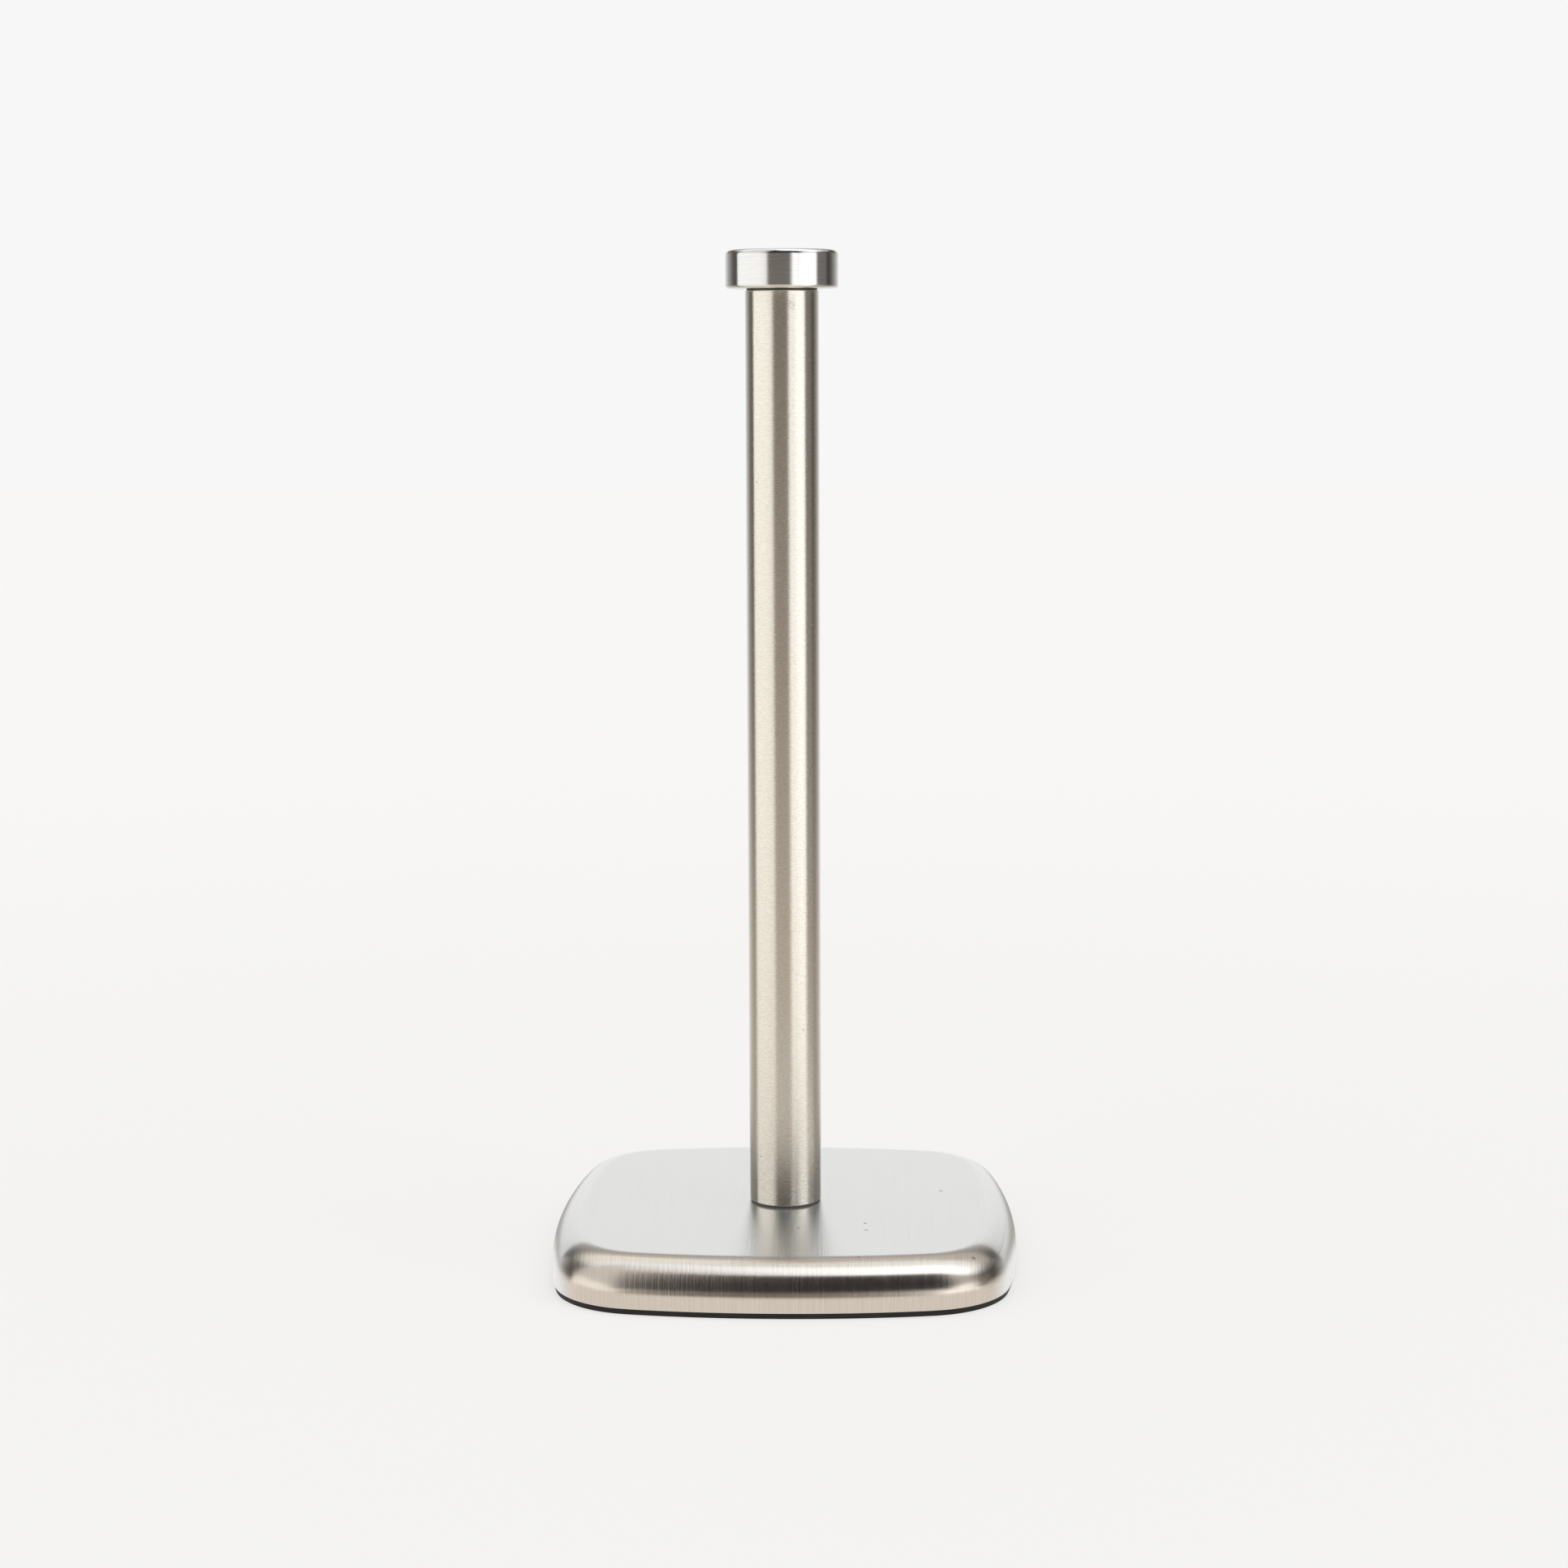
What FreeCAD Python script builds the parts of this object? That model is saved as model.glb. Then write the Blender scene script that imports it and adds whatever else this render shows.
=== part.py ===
import FreeCAD, Part
import math
import os
import Sketcher

# Freestanding paper towel holder: a weighted, low square base with bowed sides,
# a straight upright pole screwed onto it and a round cap screwed onto the pole.
# Millimetres, +Z up, origin on the floor at the middle of the base.

doc = FreeCAD.newDocument("paper_towel_holder")
sheet = doc.addObject("Spreadsheet::Sheet", "Sizes")

SIZES = [
    # base, from the floor up
    ("half_width", 80.7, "middle of a bowed side to the pole axis"),
    ("side_radius", 320.6, "bow of the four sides"),
    ("corner_radius", 27.0, "plan radius of the four corners"),
    ("base_height", 17.8, "floor to the flat top of the base"),
    ("pad_thick", 1.9, "rubber pad under the base"),
    ("pad_inset", 0.5, "pad edge in from the shell edge"),
    ("pad_groove_depth", 0.5, "grip grooves in the underside of the pad"),
    ("pad_groove_wide", 1.2, "grip grooves in the underside of the pad"),
    ("wall_taper", 2.5, "lean of the shell wall, degrees"),
    ("edge_round", 12.4, "rounding between wall and flat top"),
    ("shell_wall", 0.8, "sheet thickness of the shell"),
    ("plate_gap", 0.6, "closing plate edge to the shell inside"),
    ("plate_thick", 1.0, "closing plate"),
    ("weight_inset", 13.0, "weight edge in from the shell edge"),
    ("weight_thick", 10.0, "body of the weight"),
    ("weight_edge", 2.0, "rounding of the weight's top edge"),
    ("boss_radius", 21.0, "middle boss of the weight"),
    ("stand_radius", 6.0, "corner stands of the weight"),
    ("stand_reach", 44.0, "corner stand and plate screw position in X and Y"),
    # bolt that carries the pole
    ("bolt_hole_radius", 4.2, "clearance hole for the pole bolt"),
    ("bolt_radius", 4.0, "pole bolt thread, outside"),
    ("bolt_root_radius", 3.27, "pole bolt thread, root"),
    ("bolt_pitch", 1.25, "pole bolt thread pitch"),
    ("bolt_length", 25.0, "pole bolt under its head"),
    ("bolt_head_flats", 13.0, "pole bolt head across flats"),
    ("bolt_head_high", 5.3, "pole bolt head"),
    ("bolt_rise", 0.5, "bolt head above the closing plate"),
    ("pocket_play", 0.2, "head pocket, play on the flats"),
    ("lock_thick", 1.6, "lock washer under the bolt head"),
    ("lock_radius", 7.2, "lock washer, outside"),
    # screws that hold the closing plate
    ("screw_radius", 1.5, "plate screw shank"),
    ("screw_head_radius", 2.9, "plate screw head"),
    ("screw_length", 8.0, "plate screw overall"),
    # pole
    ("tube_radius", 12.5, "pole, outside"),
    ("tube_wall", 0.9, "pole wall"),
    ("tube_length", 314.5, "pole tube"),
    ("tube_edge", 0.35, "rounding of the tube ends"),
    ("plug_play", 0.0, "plug to tube bore"),
    ("foot_plug_length", 26.0, "threaded plug in the foot of the pole"),
    ("foot_bore_depth", 21.0, "thread depth in the foot plug"),
    ("bore_play", 0.08, "threaded bores over the thread outside"),
    ("top_plug_length", 18.0, "threaded plug in the head of the pole"),
    ("top_bore_depth", 14.0, "thread depth in the top plug"),
    # thin washers that close the two joints of the pole
    ("washer_thick", 0.6, "washers under the pole and under the cap"),
    ("foot_washer_radius", 12.1, "washer under the pole"),
    ("cap_washer_radius", 11.9, "washer under the cap"),
    # cap
    ("cap_radius", 19.1, "cap, outside"),
    ("cap_height", 12.9, "cap"),
    ("cap_edge", 1.7, "rounding of the cap's top edge"),
    ("cap_under_edge", 1.2, "rounding of the cap's lower edge"),
    ("stud_radius", 3.0, "cap stud thread, outside"),
    ("stud_root_radius", 2.39, "cap stud thread, root"),
    ("stud_pitch", 1.0, "cap stud thread pitch"),
    ("stud_length", 18.0, "cap stud overall"),
    ("stud_in_cap", 8.0, "cap stud held in the cap"),
]


class Size:
    """A number that keeps the sheet expression it came from."""

    def __init__(self, value, text):
        self.value, self.text = float(value), text

    @staticmethod
    def of(x):
        return x if isinstance(x, Size) else Size(x, repr(float(x)))

    def __add__(self, x):
        x = Size.of(x)
        return Size(self.value + x.value, "(%s + %s)" % (self.text, x.text))

    def __radd__(self, x):
        return Size.of(x) + self

    def __sub__(self, x):
        x = Size.of(x)
        return Size(self.value - x.value, "(%s - %s)" % (self.text, x.text))

    def __rsub__(self, x):
        return Size.of(x) - self

    def __mul__(self, x):
        x = Size.of(x)
        return Size(self.value * x.value, "(%s * %s)" % (self.text, x.text))

    def __rmul__(self, x):
        return Size.of(x) * self

    def __truediv__(self, x):
        x = Size.of(x)
        return Size(self.value / x.value, "(%s / %s)" % (self.text, x.text))

    def __neg__(self):
        return Size(-self.value, "(-1 * %s)" % self.text)


class Table:
    pass


S = Table()
for row, (alias, value, note) in enumerate(SIZES, 1):
    sheet.set("A%d" % row, note)
    sheet.set("B%d" % row, repr(value))
    sheet.setAlias("B%d" % row, alias)
    setattr(S, alias, Size(value, "Sizes." + alias))
doc.recompute()

Z0 = Size.of(0)
NODES = []


def new_body(name, lift=None):
    b = doc.addObject("PartDesign::Body", name)
    b.Label = name
    if lift is not None:
        b.setExpression("Placement.Base.z", lift.text)
    NODES.append(b)
    return b


def origin_plane(b, role):
    return next(f for f in b.Origin.OriginFeatures if f.Role == role)


def new_sketch(b, name, role="XY_Plane", lift=None):
    s = b.newObject("Sketcher::SketchObject", name)
    s.AttachmentSupport = [(origin_plane(b, role), "")]
    s.MapMode = "FlatFace"
    if lift is not None:
        s.setExpression("AttachmentOffset.Base.z", lift.text)
    return s


def pin_coordinate(s, kind, geo, pos, size):
    """Fix one coordinate of a sketch point to a sheet expression."""
    if abs(size.value) < 1e-9:
        axis = -2 if kind == "DistanceX" else -1
        s.addConstraint(Sketcher.Constraint("PointOnObject", geo, pos, axis))
        return
    if size.value > 0:
        c = Sketcher.Constraint(kind, -1, 1, geo, pos, size.value)
    else:
        size = -size
        c = Sketcher.Constraint(kind, geo, pos, -1, 1, size.value)
    i = s.addConstraint(c)
    s.setExpression("Constraints[%d]" % i, size.text)


def polygon(s, points):
    """Closed outline through points given as pairs of sizes."""
    n = len(points)
    pts = [FreeCAD.Vector(Size.of(x).value, Size.of(y).value, 0) for x, y in points]
    first = s.GeometryCount
    for k in range(n):
        s.addGeometry(Part.LineSegment(pts[k], pts[(k + 1) % n]), False)
    for k in range(n):
        s.addConstraint(
            Sketcher.Constraint("Coincident", first + k, 2, first + (k + 1) % n, 1)
        )
    for k, (x, y) in enumerate(points):
        pin_coordinate(s, "DistanceX", first + k, 1, Size.of(x))
        pin_coordinate(s, "DistanceY", first + k, 1, Size.of(y))


def circle(s, x, y, radius):
    x, y, radius = Size.of(x), Size.of(y), Size.of(radius)
    centre = FreeCAD.Vector(x.value, y.value, 0)
    g = s.addGeometry(
        Part.Circle(centre, FreeCAD.Vector(0, 0, 1), radius.value), False
    )
    pin_coordinate(s, "DistanceX", g, 3, x)
    pin_coordinate(s, "DistanceY", g, 3, y)
    i = s.addConstraint(Sketcher.Constraint("Radius", g, radius.value))
    s.setExpression("Constraints[%d]" % i, radius.text)
    return g


def bowed_square(s, inset):
    """Four bowed sides and four rounded corners, all tangent, moved in by inset."""
    half = S.half_width - inset
    side = S.side_radius - inset
    corner = S.corner_radius - inset
    back = S.side_radius - S.half_width
    d = back.value
    q = side.value - corner.value
    c = (-d + math.sqrt(2 * q * q - d * d)) / 2
    turn = math.atan2(c, c + d)
    up = FreeCAD.Vector(0, 0, 1)

    def arc(cx, cy, radius, start, stop):
        return s.addGeometry(
            Part.ArcOfCircle(
                Part.Circle(FreeCAD.Vector(cx, cy, 0), up, radius), start, stop
            ),
            False,
        )

    first = s.GeometryCount
    for k in range(4):
        base = k * math.pi / 2
        co, si = math.cos(base), math.sin(base)
        arc(-d * co, -d * si, side.value, base - turn, base + turn)
        cx, cy = c * co - c * si, c * si + c * co
        arc(cx, cy, corner.value, base + turn, base + math.pi / 2 - turn)
    for k in range(8):
        s.addConstraint(
            Sketcher.Constraint("Tangent", first + k, 2, first + (k + 1) % 8, 1)
        )
    for k in range(4):
        g = first + 2 * k
        zero = "DistanceY" if k % 2 == 0 else "DistanceX"
        far = "DistanceX" if k % 2 == 0 else "DistanceY"
        sign = -1 if k < 2 else 1
        pin_coordinate(s, zero, g, 3, Z0)
        pin_coordinate(s, far, g, 3, back * sign)
    i = s.addConstraint(Sketcher.Constraint("Radius", first, side.value))
    s.setExpression("Constraints[%d]" % i, side.text)
    i = s.addConstraint(Sketcher.Constraint("Radius", first + 1, corner.value))
    s.setExpression("Constraints[%d]" % i, corner.text)
    for k in range(1, 4):
        s.addConstraint(Sketcher.Constraint("Equal", first, first + 2 * k))
        s.addConstraint(Sketcher.Constraint("Equal", first + 1, first + 2 * k + 1))
    return half


def pad(b, s, name, length, reverse=False, taper=None):
    f = b.newObject("PartDesign::Pad", name)
    f.Profile = s
    f.setExpression("Length", Size.of(length).text)
    f.Reversed = reverse
    if taper is not None:
        f.setExpression("TaperAngle", taper.text)
    s.Visibility = False
    doc.recompute()
    return f


def pocket(b, s, name, length, up=False, taper=None):
    """Cut that must remove material: its volume is compared with what it cut."""
    before = b.Shape.Volume
    f = b.newObject("PartDesign::Pocket", name)
    f.Profile = s
    f.setExpression("Length", Size.of(length).text)
    f.Reversed = up
    if taper is not None:
        f.setExpression("TaperAngle", taper.text)
    s.Visibility = False
    doc.recompute()
    if not b.Shape.Volume < before - 1e-3:
        raise RuntimeError("%s removed nothing" % name)
    return f


def revolve(b, s, name):
    f = b.newObject("PartDesign::Revolution", name)
    f.Profile = s
    f.ReferenceAxis = (s, ["V_Axis"])
    f.Angle = 360.0
    s.Visibility = False
    doc.recompute()
    return f


def groove(b, s, name):
    before = b.Shape.Volume
    f = b.newObject("PartDesign::Groove", name)
    f.Profile = s
    f.ReferenceAxis = (s, ["V_Axis"])
    f.Angle = 360.0
    s.Visibility = False
    doc.recompute()
    if not b.Shape.Volume < before - 1e-3:
        raise RuntimeError("%s removed nothing" % name)
    return f


def edges_at(shape, wanted):
    return ["Edge%d" % (i + 1) for i, e in enumerate(shape.Edges) if wanted(e)]


def fillet(b, feature, name, wanted, radius):
    f = b.newObject("PartDesign::Fillet", name)
    f.Base = (feature, edges_at(feature.Shape, wanted))
    f.setExpression("Radius", Size.of(radius).text)
    doc.recompute()
    return f


def chamfer(b, feature, name, wanted, size):
    f = b.newObject("PartDesign::Chamfer", name)
    f.Base = (feature, edges_at(feature.Shape, wanted))
    f.setExpression("Size", Size.of(size).text)
    doc.recompute()
    return f


def flat_at(z, least=0.0, most=1e9):
    """Edges lying in the plane at height z, between two distances from the axis."""

    def wanted(e):
        b = e.BoundBox
        if abs(b.ZMin - z) > 1e-4 or abs(b.ZMax - z) > 1e-4:
            return False
        r = [math.hypot(v.X, v.Y) for v in e.Vertexes]
        return min(r) >= least and max(r) <= most

    return wanted


def thread(b, s_name, name, root, outside, pitch, low, high):
    """A real V thread cut round the body's axis between two heights."""
    before = b.Shape.Volume
    s = new_sketch(b, s_name, "XZ_Plane")
    half = pitch * 0.44
    tip = pitch * 0.06
    polygon(
        s,
        [
            (root, low - tip),
            (outside + 0.08, low - half),
            (outside + 0.08, low + half),
            (root, low + tip),
        ],
    )
    f = b.newObject("PartDesign::SubtractiveHelix", name)
    f.Profile = s
    f.ReferenceAxis = (s, ["V_Axis"])
    f.Mode = 0
    f.setExpression("Pitch", pitch.text)
    f.setExpression("Height", (high - low).text)
    f.Reversed = False
    s.Visibility = False
    doc.recompute()
    if not b.Shape.Volume < before - 1e-3:
        raise RuntimeError("%s removed nothing" % name)
    return f


# ---------------------------------------------------------------- base pad
base_pad = new_body("base_pad")
s = new_sketch(base_pad, "pad_outline")
bowed_square(s, S.pad_inset)
pad(base_pad, s, "pad_sheet", S.pad_thick)
s = new_sketch(base_pad, "pad_grooves")
for k in range(4):
    r = S.half_width - 14 - 12 * k
    circle(s, 0, 0, r)
    circle(s, 0, 0, r - S.pad_groove_wide)
pocket(base_pad, s, "pad_grip_rings", S.pad_groove_depth, up=True)

# -------------------------------------------------------------- base shell
base_shell = new_body("base_shell", S.pad_thick)
shell_high = S.base_height - S.pad_thick
s = new_sketch(base_shell, "shell_outline")
bowed_square(s, Z0)
f = pad(base_shell, s, "shell_block", shell_high, taper=-S.wall_taper)
f = fillet(base_shell, f, "shell_round", flat_at(shell_high.value), S.edge_round)
solid = f.Shape.Volume
open_face = [
    "Face%d" % (i + 1) for i, a in enumerate(f.Shape.Faces) if abs(a.BoundBox.ZMax) < 1e-4
]
hollow = base_shell.newObject("PartDesign::Thickness", "shell_hollow")
hollow.Base = (f, open_face)
hollow.setExpression("Value", S.shell_wall.text)
hollow.Reversed = True
hollow.Join = 1
doc.recompute()
if not 0 < base_shell.Shape.Volume < solid / 4:
    raise RuntimeError("the shell did not hollow out")
s = new_sketch(base_shell, "shell_hole_mark", lift=shell_high)
circle(s, 0, 0, S.bolt_hole_radius)
pocket(base_shell, s, "shell_hole", S.shell_wall * 3)

# ------------------------------------------------------------ closing plate
bottom_plate = new_body("bottom_plate", S.pad_thick)
s = new_sketch(bottom_plate, "plate_outline")
bowed_square(s, S.shell_wall + S.plate_gap)
pad(bottom_plate, s, "plate_sheet", S.plate_thick)
s = new_sketch(bottom_plate, "plate_hole_marks")
corners = [(1, 1), (-1, 1), (-1, -1), (1, -1)]
for i, j in corners:
    circle(s, S.stand_reach * i, S.stand_reach * j, S.screw_head_radius)
pocket(bottom_plate, s, "plate_holes", S.plate_thick * 2, up=True)

# ------------------------------------------------------------------- weight
weight_foot = S.pad_thick + S.plate_thick
weight_block = new_body("weight_block", weight_foot)
weight_high = S.base_height - S.shell_wall - weight_foot
s = new_sketch(weight_block, "weight_outline")
bowed_square(s, S.weight_inset)
f = pad(weight_block, s, "weight_slab", S.weight_thick)
f = fillet(weight_block, f, "weight_round", flat_at(S.weight_thick.value), S.weight_edge)
s = new_sketch(weight_block, "weight_boss_marks")
circle(s, 0, 0, S.boss_radius)
for i, j in corners:
    circle(s, S.stand_reach * i, S.stand_reach * j, S.stand_radius)
pad(weight_block, s, "weight_bosses", weight_high)
s = new_sketch(weight_block, "weight_bore_mark")
circle(s, 0, 0, S.bolt_hole_radius)
pocket(weight_block, s, "weight_bore", weight_high + 1, up=True)
s = new_sketch(weight_block, "weight_pocket_mark")
flat = S.bolt_head_flats / 2 + S.pocket_play
corner_x = flat * (2 / math.sqrt(3))
hexagon = [
    (corner_x, 0),
    (corner_x / 2, flat),
    (-corner_x / 2, flat),
    (-corner_x, 0),
    (-corner_x / 2, -flat),
    (corner_x / 2, -flat),
]
polygon(s, hexagon)
head_room = S.bolt_rise + S.bolt_head_high
pocket(weight_block, s, "weight_head_pocket", head_room, up=True)
s = new_sketch(weight_block, "weight_lock_mark")
circle(s, 0, 0, S.lock_radius + S.pocket_play)
pocket(weight_block, s, "weight_lock_seat", head_room + S.lock_thick, up=True)
s = new_sketch(weight_block, "weight_screw_marks")
for i, j in corners:
    circle(s, S.stand_reach * i, S.stand_reach * j, S.screw_radius)
pocket(weight_block, s, "weight_screw_holes", S.screw_length, up=True)

# ------------------------------------------------------------ plate screws
sunk = S.screw_head_radius - S.screw_radius
plate_screws = doc.addObject("Part::MultiFuse", "plate_screws")
plate_screws.Label = "plate_screws"
screws = []
for k, (i, j) in enumerate(corners):
    head = doc.addObject("Part::Cylinder", "screw_head_%d" % k)
    head.setExpression("Radius", S.screw_head_radius.text)
    head.setExpression("Height", S.plate_thick.text)
    shank = doc.addObject("Part::Cylinder", "screw_shank_%d" % k)
    shank.setExpression("Radius", S.screw_radius.text)
    shank.setExpression("Height", S.screw_length.text)
    drive = doc.addObject("Part::Prism", "screw_drive_%d" % k)
    drive.Polygon = 6
    drive.setExpression("Circumradius", (S.screw_radius * 0.7).text)
    drive.setExpression("Height", (S.plate_thick * 0.6).text)
    stem = doc.addObject("Part::Fuse", "screw_stem_%d" % k)
    stem.Base, stem.Tool = head, shank
    whole = doc.addObject("Part::Cut", "screw_%d" % k)
    whole.Base, whole.Tool = stem, drive
    whole.setExpression("Placement.Base.x", (S.stand_reach * i).text)
    whole.setExpression("Placement.Base.y", (S.stand_reach * j).text)
    whole.setExpression("Placement.Base.z", S.pad_thick.text)
    screws.append(whole)
plate_screws.Shapes = screws
doc.recompute()
NODES.append(plate_screws)

# --------------------------------------------------------------- pole bolt
head_foot = weight_foot + S.bolt_rise
pole_bolt = new_body("pole_bolt", head_foot)
s = new_sketch(pole_bolt, "bolt_head_mark")
flat = S.bolt_head_flats / 2
corner_x = flat * (2 / math.sqrt(3))
polygon(
    s,
    [
        (corner_x, 0),
        (corner_x / 2, flat),
        (-corner_x / 2, flat),
        (-corner_x, 0),
        (-corner_x / 2, -flat),
        (corner_x / 2, -flat),
    ],
)
pad(pole_bolt, s, "bolt_head", S.bolt_head_high)
s = new_sketch(pole_bolt, "bolt_head_trim_mark", "XZ_Plane")
polygon(
    s,
    [
        (flat, -0.01),
        (corner_x + 1, -0.01),
        (corner_x + 1, (corner_x + 1 - flat) * 0.577),
    ],
)
groove(pole_bolt, s, "bolt_head_trim")
bolt_top = S.bolt_head_high + S.bolt_length
s = new_sketch(pole_bolt, "bolt_shank_mark")
circle(s, 0, 0, S.bolt_radius)
f = pad(pole_bolt, s, "bolt_shank", bolt_top)
chamfer(pole_bolt, f, "bolt_point", flat_at(bolt_top.value), 0.7)
thread(
    pole_bolt,
    "bolt_thread_mark",
    "bolt_thread",
    S.bolt_root_radius,
    S.bolt_radius,
    S.bolt_pitch,
    S.bolt_head_high + 6.5,
    bolt_top + S.bolt_pitch,
)

# ------------------------------------------------------------- lock washer
lock_foot = head_foot + S.bolt_head_high
lock_washer = new_body("bolt_lock_washer", lock_foot)
s = new_sketch(lock_washer, "lock_mark")
circle(s, 0, 0, S.lock_radius)
circle(s, 0, 0, S.bolt_radius + 0.15)
pad(lock_washer, s, "lock_ring", S.lock_thick)
s = new_sketch(lock_washer, "lock_slit_mark")
polygon(
    s,
    [
        (S.bolt_radius - 0.5, -0.4),
        (S.lock_radius + 0.5, -0.4),
        (S.lock_radius + 0.5, 0.4),
        (S.bolt_radius - 0.5, 0.4),
    ],
)
pocket(lock_washer, s, "lock_slit", S.lock_thick * 2, up=True)

# ------------------------------------------------------------- foot washer
foot_washer = new_body("foot_washer", S.base_height)
s = new_sketch(foot_washer, "foot_washer_mark")
circle(s, 0, 0, S.foot_washer_radius)
circle(s, 0, 0, S.bolt_hole_radius)
pad(foot_washer, s, "foot_washer_ring", S.washer_thick)

# --------------------------------------------------------------- pole tube
pole_foot = S.base_height + S.washer_thick
bore = S.tube_radius - S.tube_wall
pole_tube = new_body("pole_tube", pole_foot)
s = new_sketch(pole_tube, "tube_mark")
circle(s, 0, 0, S.tube_radius)
circle(s, 0, 0, bore)
f = pad(pole_tube, s, "tube_wall_pad", S.tube_length)
f = fillet(pole_tube, f, "tube_foot_round", flat_at(0, 12.3), S.tube_edge)
fillet(
    pole_tube, f, "tube_head_round", flat_at(S.tube_length.value, 12.3), S.tube_edge
)

# --------------------------------------------------------------- foot plug
foot_plug = new_body("foot_plug", pole_foot)
s = new_sketch(foot_plug, "foot_plug_mark", "XZ_Plane")
polygon(
    s,
    [
        (S.bolt_radius + S.bore_play + 0.8, 0),
        (bore - S.plug_play, 0),
        (bore - S.plug_play, S.foot_plug_length - 1),
        (bore - S.plug_play - 1, S.foot_plug_length),
        (0, S.foot_plug_length),
        (0, S.foot_bore_depth + 2.4),
        (S.bolt_radius + S.bore_play, S.foot_bore_depth),
        (S.bolt_radius + S.bore_play, 0.8),
    ],
)
revolve(foot_plug, s, "foot_plug_turning")

# ---------------------------------------------------------------- top plug
pole_head = pole_foot + S.tube_length
top_plug = new_body("top_plug", pole_head - S.top_plug_length)
s = new_sketch(top_plug, "top_plug_mark", "XZ_Plane")
polygon(
    s,
    [
        (S.stud_radius + S.bore_play + 0.6, S.top_plug_length),
        (bore - S.plug_play, S.top_plug_length),
        (bore - S.plug_play, 1),
        (bore - S.plug_play - 1, 0),
        (0, 0),
        (0, S.top_plug_length - S.top_bore_depth - 1.8),
        (S.stud_radius + S.bore_play, S.top_plug_length - S.top_bore_depth),
        (S.stud_radius + S.bore_play, S.top_plug_length - 0.6),
    ],
)
revolve(top_plug, s, "top_plug_turning")

# -------------------------------------------------------------- cap washer
cap_washer = new_body("cap_washer", pole_head)
s = new_sketch(cap_washer, "cap_washer_mark")
circle(s, 0, 0, S.cap_washer_radius)
circle(s, 0, 0, S.stud_radius + 0.2)
pad(cap_washer, s, "cap_washer_ring", S.washer_thick)

# --------------------------------------------------------------------- cap
cap_foot = pole_head + S.washer_thick
cap_knob = new_body("cap_knob", cap_foot)
s = new_sketch(cap_knob, "cap_mark")
circle(s, 0, 0, S.cap_radius)
f = pad(cap_knob, s, "cap_disc", S.cap_height)
f = fillet(cap_knob, f, "cap_top_round", flat_at(S.cap_height.value), S.cap_edge)
f = fillet(cap_knob, f, "cap_under_round", flat_at(0, 12), S.cap_under_edge)
s = new_sketch(cap_knob, "cap_bore_mark")
circle(s, 0, 0, S.stud_radius)
pocket(cap_knob, s, "cap_bore", S.stud_in_cap, up=True)

# ---------------------------------------------------------------- cap stud
cap_stud = new_body("cap_stud", cap_foot + S.stud_in_cap - S.stud_length)
s = new_sketch(cap_stud, "stud_mark")
circle(s, 0, 0, S.stud_radius)
f = pad(cap_stud, s, "stud_rod", S.stud_length)
chamfer(cap_stud, f, "stud_point", flat_at(0), 0.6)
thread(
    cap_stud,
    "stud_thread_mark",
    "stud_thread",
    S.stud_root_radius,
    S.stud_radius,
    S.stud_pitch,
    -S.stud_pitch,
    S.stud_length - S.stud_in_cap - 0.4,
)

doc.recompute()

# ------------------------------------------------------------------ output
problems = []
for o in doc.Objects:
    if any(word in ("Invalid", "Error") for word in o.State):
        problems.append("%s is %s" % (o.Name, o.State))
for node in NODES:
    if node.Shape.isNull() or not node.Shape.isValid():
        problems.append("%s has no valid shape" % node.Label)
    elif not node.Shape.Solids:
        problems.append("%s has no solid" % node.Label)
if problems:
    raise RuntimeError("; ".join(problems))

os.makedirs("parts", exist_ok=True)
for node in NODES:
    node.Shape.exportStep(os.path.join("parts", node.Label + ".step"))
    b = node.Shape.optimalBoundingBox(False)
    print(
        "%-18s solids %d  volume %10.1f  x %.2f..%.2f  y %.2f..%.2f  z %.2f..%.2f"
        % (
            node.Label,
            len(node.Shape.Solids),
            node.Shape.Volume,
            b.XMin,
            b.XMax,
            b.YMin,
            b.YMax,
            b.ZMin,
            b.ZMax,
        )
    )
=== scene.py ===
import bpy, math
from mathutils import Matrix, Vector


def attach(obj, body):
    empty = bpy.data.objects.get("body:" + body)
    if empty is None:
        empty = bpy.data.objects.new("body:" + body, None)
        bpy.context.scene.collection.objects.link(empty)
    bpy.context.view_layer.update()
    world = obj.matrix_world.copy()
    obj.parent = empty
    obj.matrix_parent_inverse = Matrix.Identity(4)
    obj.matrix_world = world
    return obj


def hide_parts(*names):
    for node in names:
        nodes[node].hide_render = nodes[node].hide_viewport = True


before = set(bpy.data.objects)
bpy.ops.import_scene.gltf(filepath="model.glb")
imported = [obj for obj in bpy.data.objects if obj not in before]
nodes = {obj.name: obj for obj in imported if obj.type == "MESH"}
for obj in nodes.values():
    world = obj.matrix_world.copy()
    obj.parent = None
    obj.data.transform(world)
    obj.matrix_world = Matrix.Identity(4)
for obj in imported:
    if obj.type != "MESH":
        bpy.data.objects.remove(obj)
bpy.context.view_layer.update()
scene = bpy.context.scene


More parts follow.
